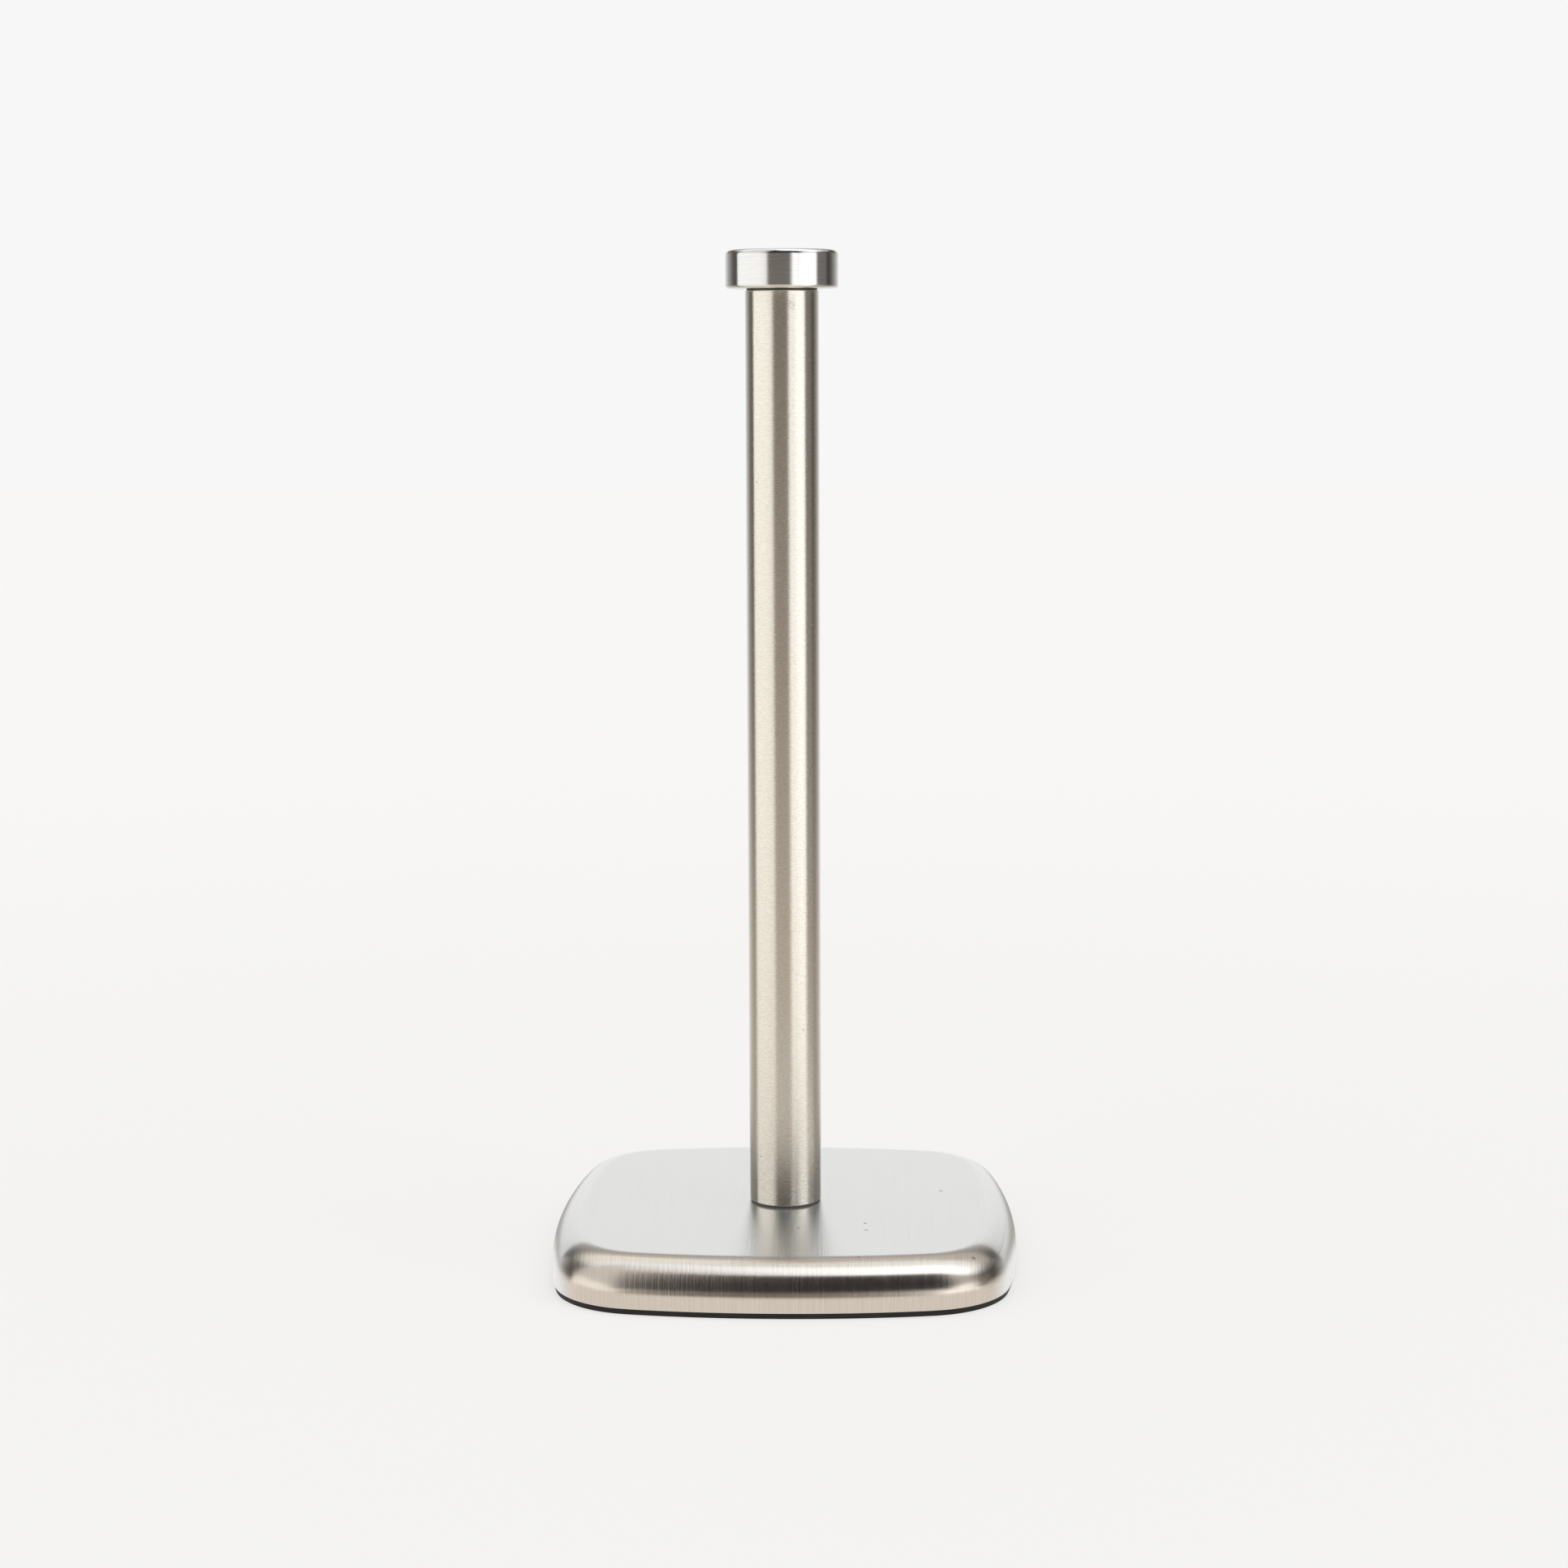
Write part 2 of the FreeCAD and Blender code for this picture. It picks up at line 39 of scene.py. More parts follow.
# ------------------------------------------------------------ node helpers
class Tree:
    """Small helper around a material's or world's node tree."""

    def __init__(self, tree):
        self.t = tree
        self.t.nodes.clear()

    def add(self, kind, **values):
        n = self.t.nodes.new(kind)
        for k, v in values.items():
            setattr(n, k, v)
        return n

    def link(self, a, b):
        self.t.links.new(a, b)

    def put(self, socket, value):
        if isinstance(value, bpy.types.NodeSocket):
            self.link(value, socket)
        else:
            socket.default_value = value

    def math(self, op, a, b=None, c=None, clamp=False):
        n = self.add("ShaderNodeMath", operation=op, use_clamp=clamp)
        for i, v in enumerate((a, b, c)):
            if v is not None:
                self.put(n.inputs[i], v)
        return n.outputs[0]

    def ramp(self, value, low, high, to_low=0.0, to_high=1.0, smooth=True):
        n = self.add("ShaderNodeMapRange", clamp=True)
        n.interpolation_type = "SMOOTHSTEP" if smooth else "LINEAR"
        self.put(n.inputs["Value"], value)
        n.inputs["From Min"].default_value = low
        n.inputs["From Max"].default_value = high
        self.put(n.inputs["To Min"], to_low)
        self.put(n.inputs["To Max"], to_high)
        return n.outputs["Result"]

    def mix(self, factor, a, b, blend="MIX"):
        n = self.add("ShaderNodeMix", data_type="RGBA", blend_type=blend)
        self.put(n.inputs["Factor"], factor)
        self.put(n.inputs["A"], a)
        self.put(n.inputs["B"], b)
        return n.outputs["Result"]

    def vmix(self, factor, a, b):
        n = self.add("ShaderNodeMix", data_type="VECTOR")
        self.put(n.inputs["Factor"], factor)
        self.put([s for s in n.inputs if s.name == "A" and s.type == "VECTOR"][0], a)
        self.put([s for s in n.inputs if s.name == "B" and s.type == "VECTOR"][0], b)
        return [s for s in n.outputs if s.type == "VECTOR"][0]

    def place(self):
        """Object coordinates in metres: the row frame."""
        return self.add("ShaderNodeTexCoord").outputs["Object"]

    def normal(self):
        return self.add("ShaderNodeTexCoord").outputs["Normal"]

    def split(self, v):
        n = self.add("ShaderNodeSeparateXYZ")
        self.link(v, n.inputs[0])
        return n.outputs[0], n.outputs[1], n.outputs[2]

    def join(self, x, y, z):
        n = self.add("ShaderNodeCombineXYZ")
        for i, v in enumerate((x, y, z)):
            self.put(n.inputs[i], v)
        return n.outputs[0]

    def scaled(self, v, scale):
        n = self.add("ShaderNodeVectorMath", operation="MULTIPLY")
        self.put(n.inputs[0], v)
        n.inputs[1].default_value = scale
        return n.outputs[0]

    def noise(self, v, scale=1.0, detail=2.0, rough=0.5, colour=False):
        n = self.add("ShaderNodeTexNoise")
        self.link(v, n.inputs["Vector"])
        n.inputs["Scale"].default_value = scale
        n.inputs["Detail"].default_value = detail
        n.inputs["Roughness"].default_value = rough
        return n.outputs["Color" if colour else "Fac"]

    def bump(self, height, strength, distance, normal=None):
        n = self.add("ShaderNodeBump")
        n.inputs["Strength"].default_value = strength
        n.inputs["Distance"].default_value = distance
        self.put(n.inputs["Height"], height)
        if normal is not None:
            self.link(normal, n.inputs["Normal"])
        return n.outputs["Normal"]


def material(name):
    m = bpy.data.materials.new(name)
    m.use_nodes = True
    t = Tree(m.node_tree)
    out = t.add("ShaderNodeOutputMaterial")
    shader = t.add("ShaderNodeBsdfPrincipled")
    t.link(shader.outputs[0], out.inputs["Surface"])
    return m, t, shader


def paint(node, m):
    o = shown.get(node, nodes[node])
    if not o.material_slots:
        o.data.materials.append(m)
    for s in o.material_slots:
        s.material = m


def centred(t, n, gain=1.0):
    """Noise 0..1 to about -1..1."""
    return t.math("MULTIPLY", t.math("SUBTRACT", n, 0.5), 2.0 * gain)


# ------------------------------------------------------------------ meshes
# The pieces the eye meets are rebuilt finely here, at the CAD sizes (millimetres
# below, metres in the meshes), with exact normals at every vertex.
MM = 0.001
shown = {}


def make(name, body, slot_name, points, normals, faces, *stands_for):
    me = bpy.data.meshes.new(name)
    me.from_pydata([tuple(c * MM for c in p) for p in points], [], faces)
    me.update()
    me.polygons.foreach_set("use_smooth", [True] * len(me.polygons))
    me.normals_split_custom_set_from_vertices([Vector(n).normalized() for n in normals])
    o = bpy.data.objects.new(name, me)
    scene.collection.objects.link(o)
    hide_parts(*stands_for)
    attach(o, body)
    shown[stands_for[0]] = o
    return o


def bowed_outline(half_width, side_radius, corner_angle, soft):
    """Square with bowed sides whose bow runs gently into the corners: for a full turn, (point, outward normal) in plan."""
    fine = 2400
    step = math.radians(45) / fine

    def integrate(corner_radius):
        x, y = half_width, 0.0
        out = [(0.0, x, y)]
        for i in range(fine):
            a = (i + 0.5) * step
            k = min(1.0, max(0.0, (math.degrees(a) - corner_angle + soft / 2) / soft))
            k = k * k * (3 - 2 * k)
            rho = math.exp(math.log(side_radius) * (1 - k) + math.log(corner_radius) * k)
            x -= rho * math.sin(a) * step
            y += rho * math.cos(a) * step
            out.append(((i + 1) * step, x, y))
        return out

    low, high = 8.0, 60.0
    for _ in range(50):
        mid = (low + high) / 2
        end = integrate(mid)[-1]
        if end[2] < end[1]:
            low = mid
        else:
            high = mid
    track = integrate(mid)
    # angles: closer together along the long flat bow, so that no facet is long
    picks = [0.0, 0.7, 1.4, 2.1, 2.8, 3.5, 4.2, 4.9, 5.6, 6.3, 7.0, 7.7, 8.4, 9.1, 9.8, 10.6, 11.5, 12.6, 13.8, 15.2, 16.8, 18.6, 20.6, 22.8, 25.2, 27.6, 30.0, 32.5, 35.0, 37.5, 40.0, 42.5, 45.0]
    eighth = []
    for d in picks:
        a, x, y = track[min(fine, round(d / 45 * fine))]
        eighth.append((x, y, math.cos(a), math.sin(a)))
    quarter = eighth + [(y, x, ny, nx) for x, y, nx, ny in reversed(eighth[:-1])]
    ring = []
    for turn in range(4):
        for x, y, nx, ny in quarter[:-1]:
            for _ in range(turn):
                x, y, nx, ny = -y, x, -ny, nx
            ring.append((x, y, nx, ny))
    return ring


def loft(rings):
    """rings: lists of (point, normal), all the same length; closed round, open along."""
    points, normals, faces = [], [], []
    n = len(rings[0])
    for ring in rings:
        for p, nn in ring:
            points.append(p)
            normals.append(nn)
    for r in range(len(rings) - 1):
        for i in range(n):
            j = (i + 1) % n
            faces.append((r * n + i, r * n + j, (r + 1) * n + j, (r + 1) * n + i))
    return points, normals, faces


def close(faces, count, n):
    """Joins the last ring to the first."""
    for i in range(n):
        j = (i + 1) % n
        faces.append(((count - 1) * n + i, (count - 1) * n + j, j, i))


def lathe(profile, segments=160):
    """profile: closed loop of (r, z, normal r, normal z), anticlockwise seen with r to the right and z up."""
    rings = []
    for r, z, nr, nz in profile:
        ring = []
        for i in range(segments):
            a = 2 * math.pi * i / segments
            c, s = math.cos(a), math.sin(a)
            ring.append(((r * c, r * s, z), (nr * c, nr * s, nz)))
        rings.append(ring)
    return rings


def arc(cr, cz, radius, a0, a1, steps):
    """Part of a round in the profile plane; normals point away from its centre."""
    out = []
    for i in range(steps + 1):
        a = math.radians(a0 + (a1 - a0) * i / steps)
        out.append((cr + radius * math.cos(a), cz + radius * math.sin(a), math.cos(a), math.sin(a)))
    return out


# base shell: drawn sheet, wall leaning in 2.5 degrees, wide round, flat top
OUTLINE = bowed_outline(80.7, 320.6, 10.5, 10.0)
PAD, TOP, ROUND, WALL, LEAN = 1.9, 17.8, 12.4, 0.8, math.radians(2.5)
zc = TOP - ROUND
ic = (zc - PAD) * math.tan(LEAN) + ROUND / math.cos(LEAN)


def inset(d, z, tilt):
    """Ring at distance d inside the outline, its normal tilted up from level."""
    c, s = math.cos(tilt), math.sin(tilt)
    return [((x - nx * d, y - ny * d, z), (nx * c, ny * c, s)) for x, y, nx, ny in OUTLINE]


def across(d, z, radius, t, tilt):
    """Ring between the inset outline (t 0) and a circle (t 1)."""
    ring = []
    for x, y, nx, ny in OUTLINE:
        px, py = x - nx * d, y - ny * d
        a = math.atan2(py, px)
        ring.append(((px * (1 - t) + radius * math.cos(a) * t, py * (1 - t) + radius * math.sin(a) * t, z), (0, 0, math.sin(tilt))))
    return ring


rings = []
lip = 0.28
hole = 4.2
# hole edge outwards over the top, down the round and the wall
rings.append([((x, y, z), (-x / hole, -y / hole, 0)) for (x, y, z), _ in across(ic, TOP - WALL + 0.05, hole, 1.0, math.pi / 2)])
rings.append([((x, y, z), (-x / hole, -y / hole, 0)) for (x, y, z), _ in across(ic, TOP - 0.05, hole, 1.0, math.pi / 2)])
for t in (0.999, 0.9, 0.75, 0.55, 0.35, 0.18, 0.08, 0.03):
    rings.append(across(ic, TOP, hole, t, math.pi / 2))
for i in range(33):
    a = math.radians(90 - (90 - 2.5) * i / 32)
    rings.append(inset(ic - ROUND * math.cos(a), zc + ROUND * math.sin(a), a))
z0 = zc + ROUND * math.sin(LEAN)
for z in (4.8, 4.0, 3.2, 2.6):
    rings.append(inset((z - PAD) * math.tan(LEAN), z, LEAN))
for i in range(7):
    a = math.radians(2.5 - 92.5 * i / 6)
    rings.append(inset(lip * 1.02 - lip * math.cos(a), PAD + lip + lip * math.sin(a), a))
rings.append(inset(WALL - 0.1, PAD, -math.pi / 2))
rings.append(inset(WALL, PAD + 0.1, math.pi))
for i in range(17):
    a = math.radians(2.5 + (90 - 2.5) * i / 16)
    ring = inset(ic - (ROUND - WALL) * math.cos(a), zc + (ROUND - WALL) * math.sin(a), a)
    rings.append([(p, (-n[0], -n[1], -n[2])) for p, n in ring])
for t in (0.1, 0.4, 0.8, 0.999):
    rings.append(across(ic, TOP - WALL, hole, t, -math.pi / 2))
points, normals, faces = loft(rings)
close(faces, len(rings), len(OUTLINE))
faces = [tuple(reversed(f)) for f in faces]
make("base_shell_steel", "base", "shell_steel", points, normals, faces, "base_shell")

# pad: follows the shell's outline, half a millimetre in, with four grip rings underneath
GROOVE, WIDE, EDGE = 0.5, 1.2, 0.25
GRIPS = [80.7 - 14 - 12 * k for k in range(4)]
MIDDLE = 10.0


def disc(z, radius, up, t=1.0):
    return across(0.5 + EDGE, z, radius, t, up * math.pi / 2)


rings = [disc(PAD, MIDDLE, 1)]
for t in (0.8, 0.5, 0.2, 0.0):
    rings.append(disc(PAD, MIDDLE, 1, t))
for i in range(7):
    a = math.radians(90 - 90 * i / 6)
    rings.append(inset(0.5 + EDGE - EDGE * math.cos(a), PAD - EDGE + EDGE * math.sin(a), a))
for i in range(7):
    a = math.radians(-90 * i / 6)
    rings.append(inset(0.5 + EDGE - EDGE * math.cos(a), EDGE + EDGE * math.sin(a), a))
rings.append(across(0.5 + EDGE, 0.0, GRIPS[0] + 0.05, 0.5, -math.pi / 2))


def wall(radius, z, way):
    """Ring on a groove's side; way is +1 where the side faces the axis and -1 where it faces out."""
    return [(p, (-p[0] * way, -p[1] * way, 0)) for p, n in disc(z, radius, -1)]


for r in GRIPS:
    rings.append(disc(0.0, r + 0.001, -1))
    rings.append(wall(r, 0.001, 1))
    rings.append(wall(r, GROOVE - 0.001, 1))
    rings.append(disc(GROOVE, r - 0.001, -1))
    rings.append(disc(GROOVE, r - WIDE + 0.001, -1))
    rings.append(wall(r - WIDE, GROOVE - 0.001, -1))
    rings.append(wall(r - WIDE, 0.001, -1))
    rings.append(disc(0.0, r - WIDE - 0.001, -1))
rings.append(disc(0.0, MIDDLE, -1))
points, normals, faces = loft(rings)
n = len(OUTLINE)
faces.append(tuple(reversed(range(n))))
faces.append(tuple((len(rings) - 1) * n + i for i in range(n)))
faces = [tuple(reversed(f)) for f in faces]
make("base_pad_rubber", "base", "rubber_pad", points, normals, faces, "base_pad")

# pole: tube with softly rounded ends
R, BORE, FOOT, HEAD, E = 12.5, 11.6, 18.4, 332.9, 0.35
profile = arc(R - E, FOOT + E, E, -90, 0, 6)
profile += [(R, FOOT + 6, 1, 0), (R, 60, 1, 0), (R, 120, 1, 0), (R, 200, 1, 0), (R, 270, 1, 0), (R, HEAD - 6, 1, 0)]
profile += arc(R - E, HEAD - E, E, 0, 90, 6)
profile += arc(BORE + 0.2, HEAD - 0.2, 0.2, 90, 180, 4)
profile += arc(BORE + 0.2, FOOT + 0.2, 0.2, 180, 270, 4)
rings = lathe(profile)
points, normals, faces = loft(rings)
close(faces, len(rings), len(rings[0]))
make("pole_tube_steel", "pole", "tube_steel", points, normals, faces, "pole_tube")

# cap: flat disc with rounded edges and a blind hole for its stud
R, LOW, HIGH, E1, E0 = 19.1, 333.5, 346.4, 1.7, 1.2
bore = 2.95
profile = [(bore + 0.1, LOW, 0, -1), (9.0, LOW, 0, -1), (14.0, LOW, 0, -1)]
profile += arc(R - E0, LOW + E0, E0, -90, 0, 14)
profile += [(R, 338, 1, 0), (R, 341, 1, 0)]
profile += arc(R - E1, HIGH - E1, E1, 0, 90, 18)
profile += [(14, HIGH, 0, 1), (8, HIGH, 0, 1), (3, HIGH, 0, 1), (0.02, HIGH, 0, 1)]
rings = lathe(profile)
rings.append([((p[0], p[1], LOW + 8.0), (0, 0, -1)) for p, n in rings[-1]])
rings.append([((p[0] / 0.02 * (bore - 0.1), p[1] / 0.02 * (bore - 0.1), LOW + 8.0), (0, 0, -1)) for p, n in rings[-1]])
rings.append([((p[0] / (bore - 0.1) * bore, p[1] / (bore - 0.1) * bore, LOW + 7.9), (-p[0], -p[1], 0)) for p, n in rings[-1]])
rings.append([((p[0], p[1], LOW + 0.1), n) for p, n in rings[-1]])
points, normals, faces = loft(rings)
close(faces, len(rings), len(rings[0]))
make("cap_knob_steel", "cap", "cap_steel", points, normals, faces, "cap_knob")


# --------------------------------------------------------------- materials
def shell_steel():
    """Brushed sheet: lines run front to back over the top and down the walls."""
    m, t, s = material("shell_steel")
    p = t.place()
    nx, ny, nz = t.split(t.normal())
    side = t.ramp(t.math("ABSOLUTE", nx), 0.60, 0.85)
    # lines along Y (and down the front and back); along Y on the two side walls
    fine = t.noise(t.scaled(p, (4600, 110, 110)), 1.0, 3.0, 0.6)
    wide = t.noise(t.scaled(p, (1350, 26, 26)), 1.0, 4.0, 0.7)
    fine_s = t.noise(t.scaled(p, (110, 110, 4600)), 1.0, 3.0, 0.6)
    wide_s = t.noise(t.scaled(p, (26, 26, 1350)), 1.0, 4.0, 0.7)
    f = t.math("ADD", t.math("MULTIPLY", t.math("SUBTRACT", 1.0, side), fine), t.math("MULTIPLY", side, fine_s))
    w = t.math("ADD", t.math("MULTIPLY", t.math("SUBTRACT", 1.0, side), wide), t.math("MULTIPLY", side, wide_s))
    line = t.math("ADD", t.math("MULTIPLY", f, 0.5), t.math("MULTIPLY", w, 0.5))
    cloud = t.noise(p, 26.0, 2.0, 0.5)
    speck = t.noise(p, 2600.0, 2.0, 0.6)
    # steel turns paler and more neutral at a grazing look, as metals do
    graze = t.add("ShaderNodeLayerWeight")
    graze.inputs["Blend"].default_value = 0.5
    pale = t.ramp(graze.outputs["Facing"], 0.36, 0.72)
    wall = t.mix(t.ramp(line, 0.30, 0.70), (0.632, 0.556, 0.472, 1), (0.723, 0.638, 0.550, 1))
    flat = t.mix(t.ramp(line, 0.30, 0.70), (0.790, 0.790, 0.772, 1), (0.840, 0.840, 0.822, 1))
    colour = t.mix(pale, wall, flat)
    colour = t.mix(t.ramp(cloud, 0.3, 0.7, 0.0, 0.08), colour, (0.90, 0.87, 0.84, 1), "MULTIPLY")
    colour = t.mix(t.ramp(speck, 0.62, 0.74, 0.0, 0.10), colour, (0.55, 0.53, 0.50, 1), "MULTIPLY")
    # a few tiny dark pits
    pit = t.add("ShaderNodeTexVoronoi", feature="F1")
    t.link(p, pit.inputs["Vector"])
    pit.inputs["Scale"].default_value = 95.0
    chance = t.noise(t.scaled(p, (40, 40, 40)), 1.0, 1.0, 0.5)
    dot = t.math("MULTIPLY", t.ramp(pit.outputs["Distance"], 0.045, 0.085, 1.0, 0.0), t.ramp(chance, 0.52, 0.60))
    colour = t.mix(t.math("MULTIPLY", dot, 0.75), colour, (0.10, 0.09, 0.08, 1))
    t.link(colour, s.inputs["Base Color"])
    # the flat top scatters a little light of its own: fine wear across the brushing
    t.link(t.ramp(nz, 0.975, 0.999, 1.0, 0.85), s.inputs["Metallic"])
    rough = t.math("ADD", t.ramp(line, 0.30, 0.70, 0.185, 0.245), t.math("MULTIPLY", centred(t, cloud), 0.015))
    t.link(rough, s.inputs["Roughness"])
    s.inputs["Anisotropic"].default_value = 0.76
    t.link(t.vmix(side, (1.0, 0.0, 0.0), (0.0, 0.0, 1.0)), s.inputs["Tangent"])
    t.link(t.bump(line, 0.90, 0.00006), s.inputs["Normal"])
    return m


def rings(t, p, pitch, waver):
    """Noise drawn out round the Z axis: fine turned or brushed lines."""
    x, y, z = t.split(p)
    nx, ny, nz = t.split(t.normal())
    radius = t.math("SQRT", t.math("ADD", t.math("MULTIPLY", x, x), t.math("MULTIPLY", y, y)))
    angle = t.math("ARCTAN2", y, x)
    flat = t.ramp(t.math("ABSOLUTE", nz), 0.6, 0.95)
    across = t.math("ADD", t.math("MULTIPLY", z, t.math("SUBTRACT", 1.0, flat)), t.math("MULTIPLY", radius, flat))
    v = t.join(t.math("MULTIPLY", across, pitch), t.math("MULTIPLY", t.math("COSINE", angle), waver), t.math("MULTIPLY", t.math("SINE", angle), waver))
    return t.noise(v, 1.0, 3.0, 0.6)


def tube_steel():
    """Satin tube: fine grain drawn round it, a few pits and scuffs."""
    m, t, s = material("tube_steel")
    p = t.place()
    grain = t.noise(t.scaled(p, (1900, 1900, 3000)), 1.0, 3.0, 0.7)
    ring = rings(t, p, 2600.0, 7.0)
    cloud = t.noise(t.scaled(p, (30, 30, 9)), 1.0, 2.0, 0.5)
    mixg = t.math("ADD", t.math("MULTIPLY", grain, 0.50), t.math("MULTIPLY", ring, 0.50))
    colour = t.mix(t.ramp(mixg, 0.32, 0.68), (0.698, 0.648, 0.561, 1), (0.854, 0.800, 0.707, 1))
    graze = t.add("ShaderNodeLayerWeight")
    graze.inputs["Blend"].default_value = 0.5
    colour = t.mix(t.ramp(graze.outputs["Facing"], 0.45, 0.95, 0.0, 0.6), colour, (0.80, 0.79, 0.77, 1))
    colour = t.mix(t.ramp(cloud, 0.3, 0.7, 0.0, 0.10), colour, (0.90, 0.86, 0.80, 1), "MULTIPLY")
    pit = t.add("ShaderNodeTexVoronoi", feature="F1")
    t.link(p, pit.inputs["Vector"])
    pit.inputs["Scale"].default_value = 260.0
    x, y, z = t.split(p)
    chance = t.math("ADD", t.noise(t.scaled(p, (60, 60, 60)), 1.0, 1.0, 0.5), t.ramp(z, 0.018, 0.055, 0.10, 0.0))
    dot = t.math("MULTIPLY", t.ramp(pit.outputs["Distance"], 0.05, 0.10, 1.0, 0.0), t.ramp(chance, 0.58, 0.66))
    colour = t.mix(t.math("MULTIPLY", dot, 0.6), colour, (0.16, 0.14, 0.12, 1))
    # one small scuff at the front, just under the cap
    far_off = t.add("ShaderNodeVectorMath", operation="DISTANCE")
    t.link(t.scaled(p, (1.0, 1.0, 0.75)), far_off.inputs[0])
    far_off.inputs[1].default_value = (0.0035, -0.0120, 0.328 * 0.75)
    scuff = t.math("MULTIPLY", t.ramp(far_off.outputs["Value"], 0.0004, 0.0019, 1.0, 0.0), t.ramp(t.noise(p, 1500.0, 2.0, 0.6), 0.40, 0.60))
    colour = t.mix(t.math("MULTIPLY", scuff, 0.45), colour, (0.30, 0.27, 0.24, 1))
    t.link(colour, s.inputs["Base Color"])
    s.inputs["Metallic"].default_value = 1.0
    t.link(t.math("ADD", t.ramp(mixg, 0.3, 0.7, 0.235, 0.275), t.math("MULTIPLY", centred(t, cloud), 0.012)), s.inputs["Roughness"])
    s.inputs["Anisotropic"].default_value = 0.85
    tangent = t.add("ShaderNodeTangent", direction_type="RADIAL", axis="Z")
    t.link(tangent.outputs[0], s.inputs["Tangent"])
    s.inputs["Anisotropic Rotation"].default_value = 0.25
    b = t.bump(ring, 0.45, 0.00003)
    b = t.bump(grain, 0.60, 0.00003, b)
    t.link(b, s.inputs["Normal"])
    return m


def cap_steel():
    """Turned and brushed: fine rings round the wall and on the flat top."""
    m, t, s = material("cap_steel")
    p = t.place()
    ring = rings(t, p, 3400.0, 2.2)
    ring2 = rings(t, p, 1400.0, 1.2)
    grain = t.noise(p, 3800.0, 2.0, 0.6)
    line = t.math("ADD", t.math("ADD", t.math("MULTIPLY", ring, 0.45), t.math("MULTIPLY", ring2, 0.30)), t.math("MULTIPLY", grain, 0.25))
    colour = t.mix(t.ramp(line, 0.32, 0.68), (0.680, 0.659, 0.628, 1), (0.800, 0.782, 0.756, 1))
    t.link(colour, s.inputs["Base Color"])
    s.inputs["Metallic"].default_value = 1.0
    t.link(t.ramp(line, 0.3, 0.7, 0.17, 0.21), s.inputs["Roughness"])
    s.inputs["Anisotropic"].default_value = 0.80
    tangent = t.add("ShaderNodeTangent", direction_type="RADIAL", axis="Z")
    t.link(tangent.outputs[0], s.inputs["Tangent"])
    s.inputs["Anisotropic Rotation"].default_value = 0.25
    t.link(t.bump(line, 0.40, 0.00003), s.inputs["Normal"])
    return m


def rubber_pad():
    m, t, s = material("rubber_pad")
    p = t.place()
    grain = t.noise(p, 1800.0, 3.0, 0.6)
    scuff = t.noise(t.scaled(p, (70, 70, 500)), 1.0, 3.0, 0.6)
    colour = t.mix(t.ramp(scuff, 0.45, 0.75), (0.0085, 0.0075, 0.006, 1), (0.022, 0.019, 0.015, 1))
    colour = t.mix(t.ramp(grain, 0.4, 0.7, 0.0, 0.35), colour, (0.030, 0.026, 0.021, 1))
    t.link(colour, s.inputs["Base Color"])
    t.link(t.ramp(grain, 0.3, 0.7, 0.50, 0.72), s.inputs["Roughness"])
    s.inputs["Specular IOR Level"].default_value = 0.35
    t.link(t.bump(grain, 0.35, 0.00008), s.inputs["Normal"])
    return m


def nylon(name, dark, light):
    m, t, s = material(name)
    p = t.place()
    grain = t.noise(p, 2500.0, 2.0, 0.6)
    t.link(t.mix(grain, dark, light), s.inputs["Base Color"])
    t.link(t.ramp(grain, 0.3, 0.7, 0.42, 0.60), s.inputs["Roughness"])
    t.link(t.bump(grain, 0.2, 0.00004), s.inputs["Normal"])
    return m


def plain_metal(name, dark, light, rough_low, rough_high, stretch):
    """Inner hardware: machined or plated, with its own grain."""
    m, t, s = material(name)
    p = t.place()
    grain = t.noise(t.scaled(p, stretch), 1.0, 3.0, 0.6)
    cloud = t.noise(p, 90.0, 3.0, 0.6)
    colour = t.mix(t.ramp(grain, 0.3, 0.7), dark, light)
    colour = t.mix(t.ramp(cloud, 0.35, 0.7, 0.0, 0.3), colour, (0.85, 0.84, 0.80, 1), "MULTIPLY")
    t.link(colour, s.inputs["Base Color"])
    s.inputs["Metallic"].default_value = 1.0
    t.link(t.ramp(grain, 0.3, 0.7, rough_low, rough_high), s.inputs["Roughness"])
    t.link(t.bump(grain, 0.25, 0.00004), s.inputs["Normal"])
    return m


def cast_iron():
    m, t, s = material("weight_iron")
    p = t.place()
    lump = t.noise(p, 420.0, 4.0, 0.65)
    rust = t.noise(p, 60.0, 3.0, 0.6)
    colour = t.mix(lump, (0.020, 0.020, 0.021, 1), (0.060, 0.058, 0.056, 1))
    colour = t.mix(t.ramp(rust, 0.55, 0.75, 0.0, 0.35), colour, (0.10, 0.055, 0.03, 1))
    t.link(colour, s.inputs["Base Color"])
    s.inputs["Metallic"].default_value = 0.6
    t.link(t.ramp(lump, 0.3, 0.7, 0.55, 0.8), s.inputs["Roughness"])
    t.link(t.bump(lump, 0.5, 0.0003), s.inputs["Normal"])
    return m


paint("base_shell", shell_steel())
paint("pole_tube", tube_steel())
paint("cap_knob", cap_steel())
paint("base_pad", rubber_pad())
paint("foot_washer", nylon("foot_washer_nylon", (0.085, 0.078, 0.071, 1), (0.125, 0.115, 0.105, 1)))
paint("cap_washer", nylon("cap_washer_nylon", (0.038, 0.034, 0.031, 1), (0.062, 0.057, 0.052, 1)))
paint("weight_block", cast_iron())
zinc = plain_metal("zinc_hardware", (0.50, 0.50, 0.46, 1), (0.66, 0.66, 0.62, 1), 0.28, 0.42, (900, 900, 900))
for n in ("plate_screws", "pole_bolt", "bolt_lock_washer", "cap_stud"):
    paint(n, zinc)
plug = plain_metal("plug_steel", (0.42, 0.41, 0.40, 1), (0.58, 0.57, 0.56, 1), 0.22, 0.36, (200, 200, 5200))
